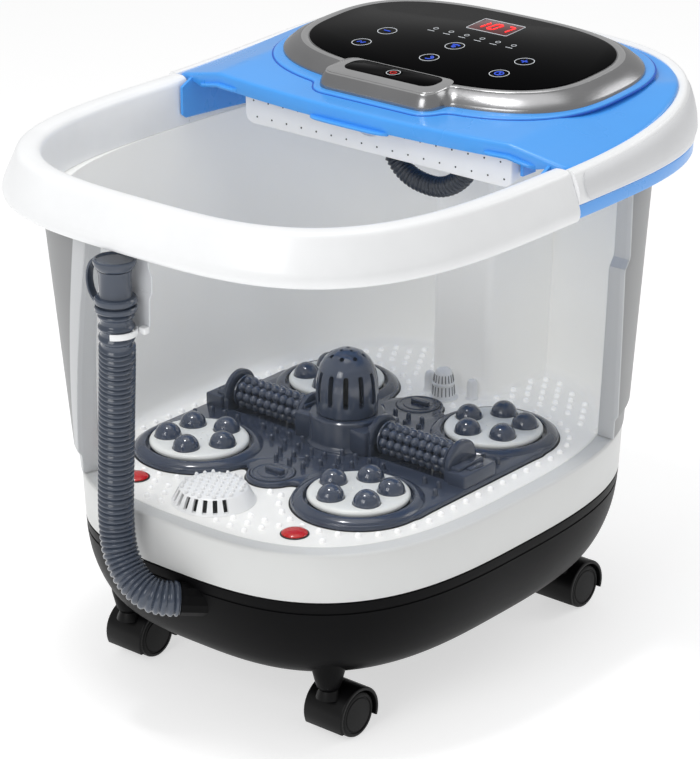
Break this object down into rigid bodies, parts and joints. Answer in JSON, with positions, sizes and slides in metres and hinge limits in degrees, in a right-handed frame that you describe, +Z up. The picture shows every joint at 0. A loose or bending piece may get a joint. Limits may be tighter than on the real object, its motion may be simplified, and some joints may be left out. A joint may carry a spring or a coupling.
{
  "type": "pedicure foot bath",
  "caption": "Foot bath on swivel casters: double-walled tub with a clear front window, massage rollers and discs, drain hose, and a blue control console over the back.",
  "frame": {"origin": "on the floor under the middle of the rim, drain hose left out", "axes": "+Z up, -Y towards the user at the open front, +Y towards the console at the back, +X to the user's right"},
  "size_m": [0.4, 0.4983, 0.45],
  "materials": {
    "shell_white": "glossy moulded white",
    "basin_white": "satin moulded white",
    "base_black": "satin moulded black",
    "wheel_black": "matt black nylon",
    "trim_blue": "glossy light blue",
    "unit_slate": "glossy dark slate",
    "hose_grey": "smooth blue-grey hose",
    "bezel_silver": "satin silver plating",
    "panel_black": "high-gloss black",
    "window_clear": "clear moulded window",
    "lens_red": "translucent red",
    "board_green": "circuit board",
    "motor_steel": "plain steel",
    "belt_rubber": "black rubber"
  },
  "bodies": {
    "tub": {"lower_skirt": "shell_white", "outer_shell": "shell_white", "front_rim": "shell_white", "rear_rim": "shell_white", "hose_bracket": "shell_white", "hose_clip": "shell_white", "vent_grille": "shell_white", "level_peg_left": "shell_white", "level_peg_right": "shell_white", "strainer": "shell_white", "inner_tub": "basin_white", "base_shell": "base_black", "bottom_cover": "base_black", "drain_outlet": "base_black", "cord_gland": "base_black", "pump": "base_black", "blower": "base_black", "display_module": "base_black", "deck": "trim_blue", "rear_trim": "trim_blue", "massage_base": "unit_slate", "drain_hose": "hose_grey", "hose_cuff": "hose_grey", "hose_cap": "hose_grey", "shower_hose": "hose_grey", "panel_bezel": "bezel_silver", "panel_lens": "panel_black", "power_bar": "panel_black", "front_window": "window_clear", "red_lens_left": "lens_red", "red_lens_right": "lens_red", "control_board": "board_green", "gearmotor": "motor_steel", "heater": "motor_steel", "drive_belt": "belt_rubber"},
    "disc_front_left": {"massage_disc_front_left": "shell_white", "disc_hub_front_left": "unit_slate"},
    "swivel_front_left": {"caster_hood_front_left": "base_black"},
    "wheels_front_left": {"caster_wheels_front_left": "wheel_black"},
    "disc_front_right": {"massage_disc_front_right": "shell_white", "disc_hub_front_right": "unit_slate"},
    "swivel_front_right": {"caster_hood_front_right": "base_black"},
    "wheels_front_right": {"caster_wheels_front_right": "wheel_black"},
    "disc_rear_left": {"massage_disc_rear_left": "shell_white", "disc_hub_rear_left": "unit_slate"},
    "swivel_rear_left": {"caster_hood_rear_left": "base_black"},
    "wheels_rear_left": {"caster_wheels_rear_left": "wheel_black"},
    "disc_rear_right": {"massage_disc_rear_right": "shell_white", "disc_hub_rear_right": "unit_slate"},
    "swivel_rear_right": {"caster_hood_rear_right": "base_black"},
    "wheels_rear_right": {"caster_wheels_rear_right": "wheel_black"},
    "roller_left": {"roller_left": "unit_slate"},
    "roller_right": {"roller_right": "unit_slate"},
    "lock_front": {"lock_front": "unit_slate"},
    "lock_rear": {"lock_rear": "unit_slate"},
    "center_cap": {"center_cap": "unit_slate"},
    "power_button": {"power_button": "panel_black"},
    "spray_box": {"spray_box": "shell_white"},
    "drive_pulley": {"drive_pulley": "base_black"}
  },
  "joints": [
    {"name": "swivel_front_left", "type": "hinge", "parent": "tub", "child": "swivel_front_left", "pos_m": [-0.1, -0.146, 0.045], "axis": [0, 0, 1], "continuous": true},
    {"name": "roll_front_left", "type": "hinge", "parent": "swivel_front_left", "child": "wheels_front_left", "pos_m": [-0.1, -0.132, 0.0175], "axis": [1, 0, 0], "continuous": true},
    {"name": "swivel_front_right", "type": "hinge", "parent": "tub", "child": "swivel_front_right", "pos_m": [0.1, -0.146, 0.045], "axis": [0, 0, 1], "continuous": true},
    {"name": "roll_front_right", "type": "hinge", "parent": "swivel_front_right", "child": "wheels_front_right", "pos_m": [0.1, -0.132, 0.0175], "axis": [1, 0, 0], "continuous": true},
    {"name": "swivel_rear_left", "type": "hinge", "parent": "tub", "child": "swivel_rear_left", "pos_m": [-0.1, 0.134, 0.045], "axis": [0, 0, 1], "continuous": true},
    {"name": "roll_rear_left", "type": "hinge", "parent": "swivel_rear_left", "child": "wheels_rear_left", "pos_m": [-0.1, 0.148, 0.0175], "axis": [1, 0, 0], "continuous": true},
    {"name": "swivel_rear_right", "type": "hinge", "parent": "tub", "child": "swivel_rear_right", "pos_m": [0.1, 0.134, 0.045], "axis": [0, 0, 1], "continuous": true},
    {"name": "roll_rear_right", "type": "hinge", "parent": "swivel_rear_right", "child": "wheels_rear_right", "pos_m": [0.1, 0.148, 0.0175], "axis": [1, 0, 0], "continuous": true},
    {"name": "disc_front_left_spin", "type": "hinge", "parent": "tub", "child": "disc_front_left", "pos_m": [-0.0785, -0.0865, 0.165], "axis": [0, 0, 1], "continuous": true},
    {"name": "disc_front_right_spin", "type": "hinge", "parent": "tub", "child": "disc_front_right", "pos_m": [0.0785, -0.0865, 0.165], "axis": [0, 0, 1], "continuous": true},
    {"name": "disc_rear_left_spin", "type": "hinge", "parent": "tub", "child": "disc_rear_left", "pos_m": [-0.0785, 0.0745, 0.165], "axis": [0, 0, 1], "continuous": true},
    {"name": "disc_rear_right_spin", "type": "hinge", "parent": "tub", "child": "disc_rear_right", "pos_m": [0.0785, 0.0745, 0.165], "axis": [0, 0, 1], "continuous": true},
    {"name": "drive_pulley_spin", "type": "hinge", "parent": "tub", "child": "drive_pulley", "pos_m": [0, -0.0867, 0.142], "axis": [0, 0, 1], "continuous": true},
    {"name": "roller_left_spin", "type": "hinge", "parent": "tub", "child": "roller_left", "pos_m": [-0.072, -0.006, 0.175], "axis": [1, 0, 0], "continuous": true},
    {"name": "roller_right_spin", "type": "hinge", "parent": "tub", "child": "roller_right", "pos_m": [0.072, -0.006, 0.175], "axis": [1, 0, 0], "continuous": true},
    {"name": "lock_front_turn", "type": "hinge", "parent": "tub", "child": "lock_front", "pos_m": [0, -0.092, 0.163], "axis": [0, 0, 1], "range_deg": [0, 90]},
    {"name": "lock_rear_turn", "type": "hinge", "parent": "tub", "child": "lock_rear", "pos_m": [0, 0.08, 0.163], "axis": [0, 0, 1], "range_deg": [0, 90]},
    {"name": "center_cap_lift", "type": "slide", "parent": "tub", "child": "center_cap", "axis": [0, 0, 1], "range_m": [0, 0.06]},
    {"name": "power_button_press", "type": "slide", "parent": "tub", "child": "power_button", "axis": [0, 0.0715, -0.9974], "range_m": [0, 0.0012], "stiffness_N_per_m": 300, "springref_m": -0.002},
    {"name": "spray_box_tilt", "type": "hinge", "parent": "tub", "child": "spray_box", "pos_m": [0, 0.04, 0.399], "axis": [1, 0, 0], "range_deg": [-30, 0]}
  ],
  "couplings": [
    {"joint": "disc_front_right_spin", "follows": "disc_front_left_spin", "ratio": 1},
    {"joint": "disc_rear_left_spin", "follows": "disc_front_left_spin", "ratio": 1},
    {"joint": "disc_rear_right_spin", "follows": "disc_front_left_spin", "ratio": 1},
    {"joint": "drive_pulley_spin", "follows": "disc_front_left_spin", "ratio": 1}
  ]
}
